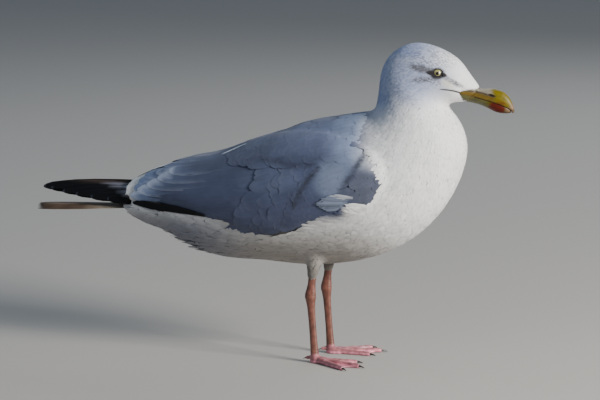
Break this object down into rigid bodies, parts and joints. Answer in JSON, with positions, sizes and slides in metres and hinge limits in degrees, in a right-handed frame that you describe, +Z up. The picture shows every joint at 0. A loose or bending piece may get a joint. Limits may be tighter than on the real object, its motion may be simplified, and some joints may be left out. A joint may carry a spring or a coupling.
{
  "type": "herring gull figure",
  "caption": "Life-size still figure of a herring gull standing on both feet with folded wings, facing along +X",
  "frame": {"origin": "On the floor, midway between the tip of the bill and the end of the tail, in the bird's middle plane.", "axes": "+X is the way the bird faces, +Y is its left side, +Z is up."},
  "size_m": [0.529, 0.1394, 0.347],
  "materials": {
    "plumage_white": "soft white feathers over skin and flesh",
    "plumage_loose": "soft white feathers, loose and light",
    "plumage_grey": "smooth blue-grey feathers",
    "plumage_black": "stiff black flight feathers",
    "plumage_tail": "worn white tail feathers with a brown wash",
    "bill_horn": "yellow horn with a red-orange spot",
    "eye": "wet pale yellow iris with a black pupil",
    "leg_skin": "pink scaled skin",
    "claw_horn": "black horn"
  },
  "bodies": {
    "root": {"bill_lower": "bill_horn", "bill_upper": "bill_horn", "claw_hind_left": "claw_horn", "claw_hind_right": "claw_horn", "claw_inner_left": "claw_horn", "claw_inner_right": "claw_horn", "claw_middle_left": "claw_horn", "claw_middle_right": "claw_horn", "claw_outer_left": "claw_horn", "claw_outer_right": "claw_horn", "eye_left": "eye", "eye_right": "eye", "foot_left": "leg_skin", "foot_right": "leg_skin", "head": "plumage_white", "neck": "plumage_white", "primaries_left": "plumage_black", "primaries_right": "plumage_black", "rump": "plumage_loose", "shank_left": "leg_skin", "shank_right": "leg_skin", "tail": "plumage_tail", "thigh_left": "plumage_white", "thigh_right": "plumage_white", "trunk": "plumage_white", "wing_left": "plumage_grey", "wing_right": "plumage_grey"}
  },
  "joints": []
}
